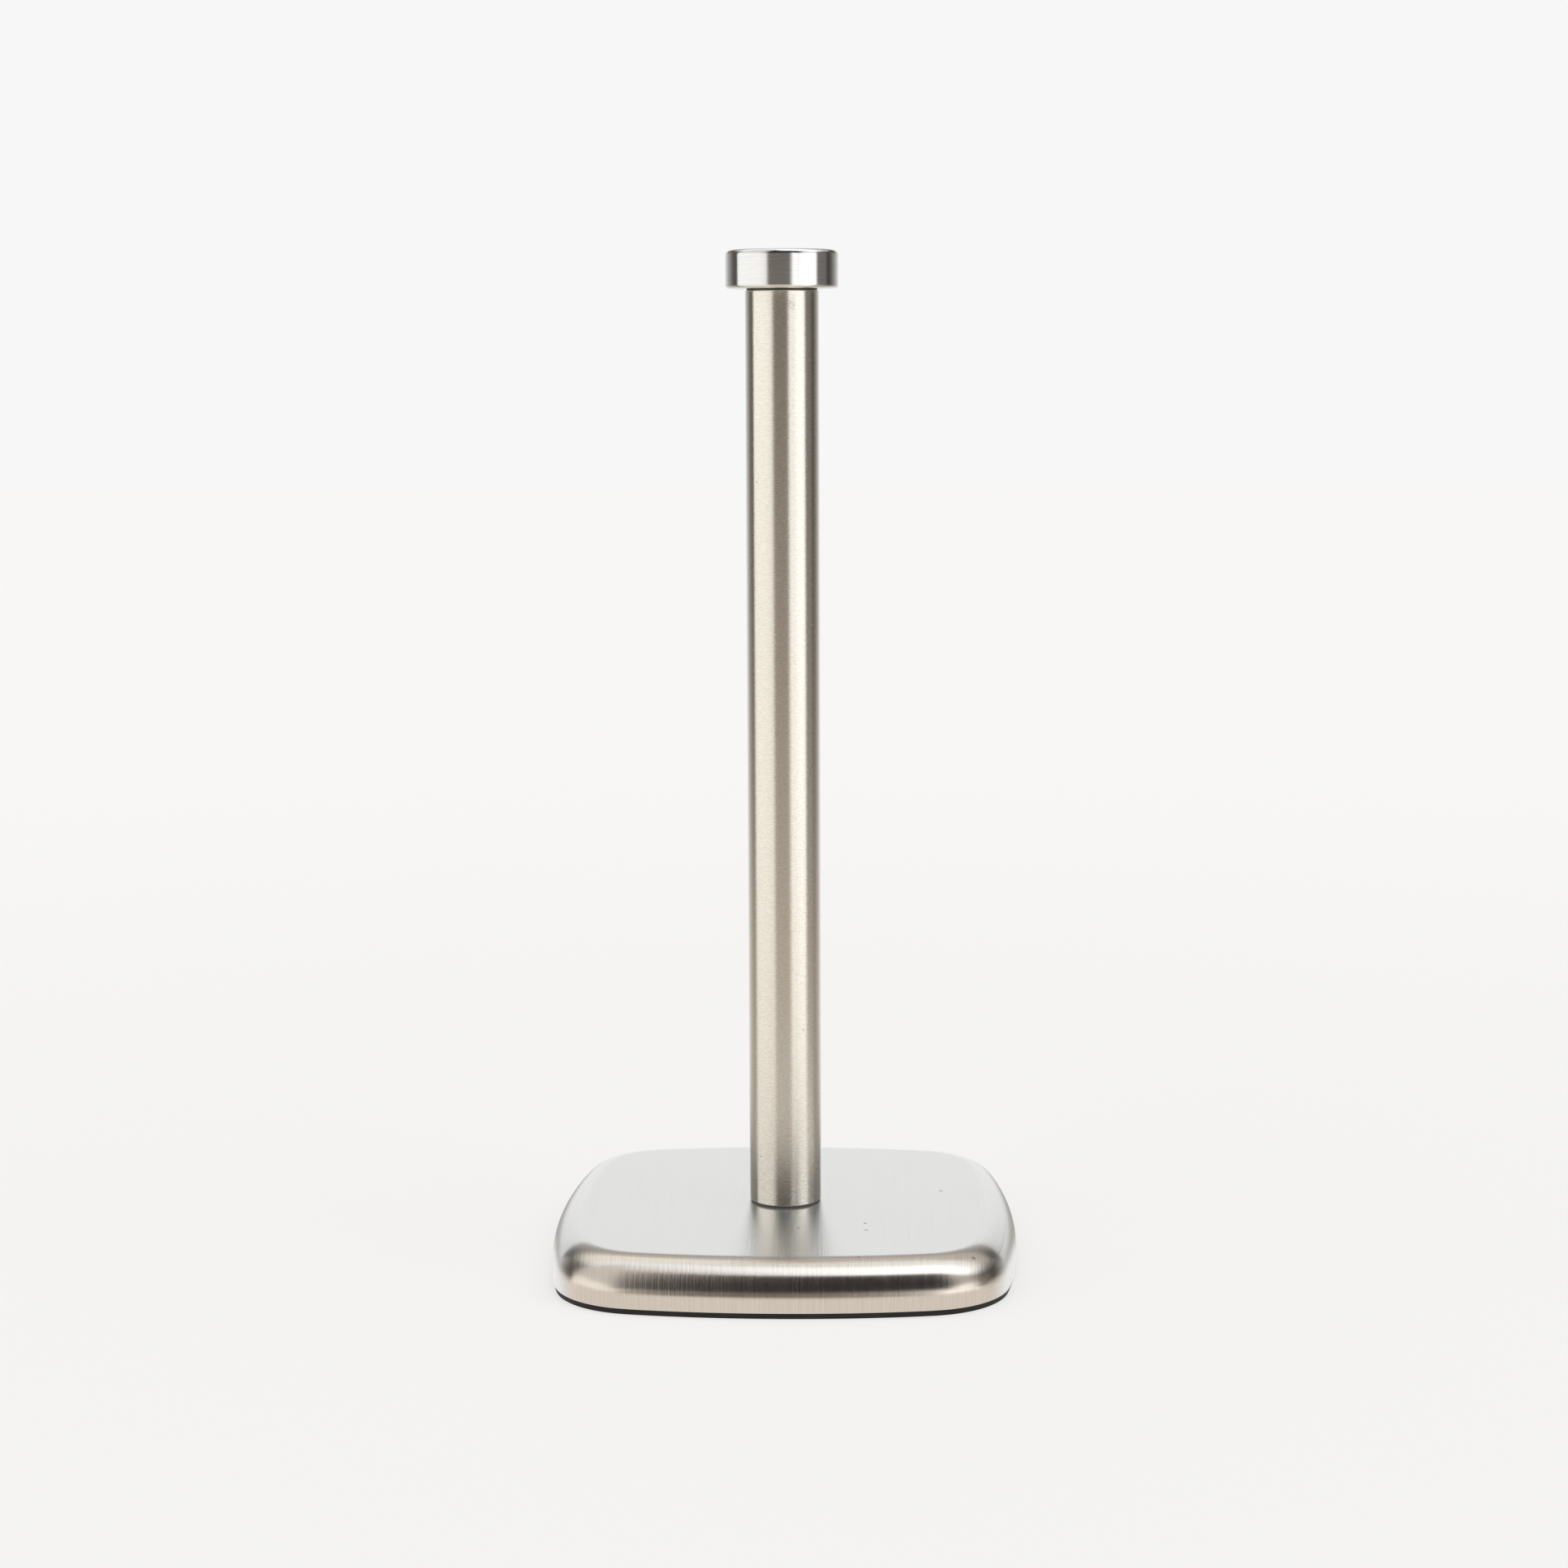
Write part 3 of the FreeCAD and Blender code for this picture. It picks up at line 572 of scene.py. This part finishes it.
for n in ("foot_plug", "top_plug"):
    paint(n, plug)
paint("bottom_plate", plain_metal("plate_steel", (0.44, 0.44, 0.43, 1), (0.58, 0.58, 0.57, 1), 0.30, 0.45, (2600, 60, 60)))


# ------------------------------------------------------------------- stage
def quad(name, corners):
    me = bpy.data.meshes.new(name)
    me.from_pydata([tuple(c) for c in corners], [], [(0, 1, 2, 3)])
    o = bpy.data.objects.new(name, me)
    scene.collection.objects.link(o)
    return o


BEARING = 1.72  # the camera stands this far to the right of the front, degrees


def band(t, v, start, end, soft_a, soft_b=None):
    """1 between start and end, with soft edges of the given widths centred on them."""
    soft_b = soft_a if soft_b is None else soft_b
    up = t.ramp(v, start - soft_a / 2, start + soft_a / 2)
    down = t.ramp(v, end - soft_b / 2, end + soft_b / 2, 1.0, 0.0)
    return t.math("MULTIPLY", up, down)


def grey(v, r=1.0, g=1.0, b=1.0):
    return (v * r, v * g, v * b, 1)


def around(t, x, y, levels):
    """Colour by bearing round the object: 0 is the front, + is the right."""
    az = t.math("MULTIPLY", t.math("ARCTAN2", x, t.math("MULTIPLY", y, -1.0)), 180.0 / math.pi)
    az = t.math("SUBTRACT", az, BEARING)
    colour = levels["front"]
    colour = t.mix(t.ramp(az, 76, 82), colour, levels["side"])
    colour = t.mix(t.ramp(az, 98, 108), colour, levels["right_back"])
    colour = t.mix(t.ramp(az, -88, -98, 0.0, 1.0), colour, levels["left_back"])
    colour = t.mix(band(t, az, levels["left_from"], levels["left_to"], 3, levels.get("left_soft", 8)), colour, levels["left"])
    colour = t.mix(band(t, az, levels["right_from"], levels["right_to"], 9, 5), colour, levels["right"])
    colour = t.mix(t.ramp(t.math("ABSOLUTE", az), levels.get("back_from", 108), 172), colour, levels["back"])
    return colour


BACK = 0.93

# floor seen by the eye: pale, nearly even, takes a faint soft shadow
floor = quad("floor", [(-6, -6, 0), (6, -6, 0), (6, 6, 0), (-6, 6, 0)])
m = bpy.data.materials.new("floor_pale")
m.use_nodes = True
t = Tree(m.node_tree)
out = t.add("ShaderNodeOutputMaterial")
both = t.add("ShaderNodeAddShader")
e = t.add("ShaderNodeEmission")
d = t.add("ShaderNodeBsdfDiffuse")
d.inputs["Color"].default_value = (0.34, 0.335, 0.33, 1)
fx, fy, fz = t.split(t.place())
# the glow is a little dimmer near the object and brighter far off: a faint painted shade round the object
t.link(t.mix(t.ramp(t.math("SQRT", t.math("ADD", t.math("MULTIPLY", fx, fx), t.math("MULTIPLY", fy, fy))), 0.15, 1.3), (0.644, 0.631, 0.612, 1), (0.672, 0.658, 0.640, 1)), e.inputs["Color"])
t.link(e.outputs[0], both.inputs[0])
t.link(d.outputs[0], both.inputs[1])
t.link(both.outputs[0], out.inputs["Surface"])
floor.data.materials.append(m)
floor.visible_glossy = False

# painted reflection of the floor: a glowing sheet that only the metal's reflections see, with painted light and shade
# on it, bright close by, in light and dark sectors farther out
far = quad("floor_far", [(-6, -6, -0.0004), (6, -6, -0.0004), (6, 6, -0.0004), (-6, 6, -0.0004)])
m = bpy.data.materials.new("painted_floor_reflection")
m.use_nodes = True
t = Tree(m.node_tree)
out = t.add("ShaderNodeOutputMaterial")
e = t.add("ShaderNodeEmission")
fx, fy, fz = t.split(t.place())
r2 = t.math("ADD", t.math("MULTIPLY", fx, fx), t.math("MULTIPLY", fy, fy))
near_levels = {"front": (0.68, 0.618, 0.548, 1), "side": (0.63, 0.595, 0.55, 1), "right_back": (0.55, 0.505, 0.452, 1), "left_back": (0.62, 0.575, 0.52, 1),
               "left": (0.99, 0.940, 0.895, 1), "left_from": -98, "left_to": -28, "right": (1.17, 1.165, 1.14, 1), "right_from": 22.5, "right_to": 70, "back": grey(0.92)}
far_levels = {"front": (0.175, 0.160, 0.150, 1), "side": (0.19, 0.18, 0.172, 1), "right_back": (0.066, 0.060, 0.056, 1), "left_back": (0.090, 0.082, 0.075, 1),
              "left": (1.26, 1.29, 1.29, 1), "left_from": -102, "left_to": -30, "right": (1.56, 1.59, 1.66, 1), "right_from": 19.5, "right_to": 75, "back": grey(0.92)}
az = t.math("ABSOLUTE", t.math("ARCTAN2", fx, t.math("MULTIPLY", fy, -1.0)))
spread = t.math("DIVIDE", r2, t.math("ADD", r2, t.ramp(az, 0.35, 1.1, 3.6, 0.75)))
colour = t.mix(spread, around(t, fx, fy, near_levels), around(t, fx, fy, far_levels))
# close by, the sheet is bright in front of the object and dimmer behind it: a painted shadow of the base, as the metal
# reflects it
close_by = t.mix(t.ramp(az, 1.5, 2.0), (0.93, 0.93, 0.925, 1), (0.40, 0.39, 0.37, 1))
close_by = t.mix(t.ramp(az, 2.4, 2.9), close_by, (0.80, 0.79, 0.78, 1))
colour = t.mix(t.ramp(t.math("SQRT", r2), 0.13, 0.30), close_by, colour)
t.link(colour, e.inputs["Color"])
t.link(e.outputs[0], out.inputs["Surface"])
far.data.materials.append(m)
far.visible_camera = False
far.visible_diffuse = False
far.visible_shadow = False

# studio: white for the eye only, so every view has a pale background; the light and
# the reflections come from soft panels round and above the object
w = bpy.data.worlds.new("studio")
scene.world = w
w.use_nodes = True
t = Tree(w.node_tree)
out = t.add("ShaderNodeOutputWorld")
x, y, z = t.split(t.add("ShaderNodeTexCoord").outputs["Generated"])
el = t.math("MULTIPLY", t.math("ARCSINE", z), 180.0 / math.pi)
low_ring = around(t, x, y, far_levels)
high_levels = {"front": (0.026, 0.024, 0.026, 1), "side": grey(0.12), "right_back": grey(0.06), "left_back": grey(0.09), "left": (0.84, 0.84, 0.86, 1),
               "left_from": -102, "left_to": -35, "left_soft": 16, "right": (0.72, 0.72, 0.75, 1), "right_from": 47, "right_to": 80, "back": (0.46, 0.43, 0.41, 1), "back_from": 136}
high_ring = around(t, x, y, high_levels)
behind = t.ramp(y, 0.78, 0.93)
lateral = t.ramp(t.math("ABSOLUTE", x), 0.57, 0.71)
frontal = t.ramp(y, -0.72, -0.90)
lift = t.math("ADD", t.math("MULTIPLY", behind, 20.0), t.math("MULTIPLY", lateral, 13.0))
lift = t.math("ADD", lift, t.math("MULTIPLY", frontal, 9.5))
colour = t.mix(t.ramp(t.math("SUBTRACT", el, lift), -1, 10), low_ring, high_ring)
# overhead softbox: a slanted sheet, dimmer at its back edge, brightest at the front right
up = t.math("MAXIMUM", z, 0.001)
u = t.math("DIVIDE", x, up)
v = t.math("DIVIDE", y, up)
front_edge = t.ramp(u, -0.26, 0.0, 0.06, -0.42)
back_edge = t.ramp(u, -0.15, 0.20, 0.0, 0.35)
over = t.ramp(t.math("SUBTRACT", v, front_edge), -0.04, 0.04)
over = t.math("MULTIPLY", over, band(t, u, -1.2, 1.5, 0.6))
over = t.math("MULTIPLY", over, t.ramp(z, 0.0, 0.05))
box_left = t.mix(t.ramp(v, 0.40, 0.10), (1.15, 1.18, 1.16, 1), (1.12, 1.26, 1.46, 1))
box_right = t.mix(t.ramp(v, 0.25, -0.05), (1.20, 1.30, 1.38, 1), (1.85, 2.0, 2.20, 1))
box = t.mix(t.ramp(u, -0.20, 0.12), box_left, box_right)
# the rear part of the sheet is only half lit, from further back on the left
rear = t.ramp(t.math("ADD", v, back_edge), 0.72, 0.92)
box = t.mix(rear, box, (0.66, 0.645, 0.62, 1))
over = t.math("MULTIPLY", over, t.ramp(v, 1.05, 1.30, 1.0, 0.0))
colour = t.mix(over, colour, box)
dark = t.add("ShaderNodeBackground")
t.link(colour, dark.inputs["Color"])
white = t.add("ShaderNodeBackground")
white.inputs["Color"].default_value = (1, 1, 1, 1)
white.inputs["Strength"].default_value = BACK
path = t.add("ShaderNodeLightPath")
pick = t.add("ShaderNodeMixShader")
t.link(path.outputs["Is Camera Ray"], pick.inputs[0])
t.link(dark.outputs[0], pick.inputs[1])
t.link(white.outputs[0], pick.inputs[2])
t.link(pick.outputs[0], out.inputs["Surface"])

# ------------------------------------------------------------------ camera
cam = bpy.data.cameras.new("camera")
cam.sensor_width = 36.0
cam.lens = 3771.6 * 36.0 / 1932.0
cam.clip_start = 0.01
cam.clip_end = 50
camera = bpy.data.objects.new("camera", cam)
scene.collection.objects.link(camera)
pitch, roll, bearing = math.radians(8.160), math.radians(0.24), math.radians(BEARING)
right = Vector((math.cos(bearing), math.sin(bearing), 0))
ahead = Vector((-math.sin(bearing) * math.cos(pitch), math.cos(bearing) * math.cos(pitch), -math.sin(pitch)))
upward = right.cross(ahead)
x_axis = right * math.cos(roll) - upward * math.sin(roll)
y_axis = right * math.sin(roll) + upward * math.cos(roll)
rot = Matrix((x_axis, y_axis, -ahead)).transposed().to_4x4()
camera.matrix_world = Matrix.Translation(Vector((0.03136, -1.04373, 0.31470))) @ rot
scene.camera = camera
scene.view_settings.view_transform = "Standard"
scene.view_settings.look = "None"
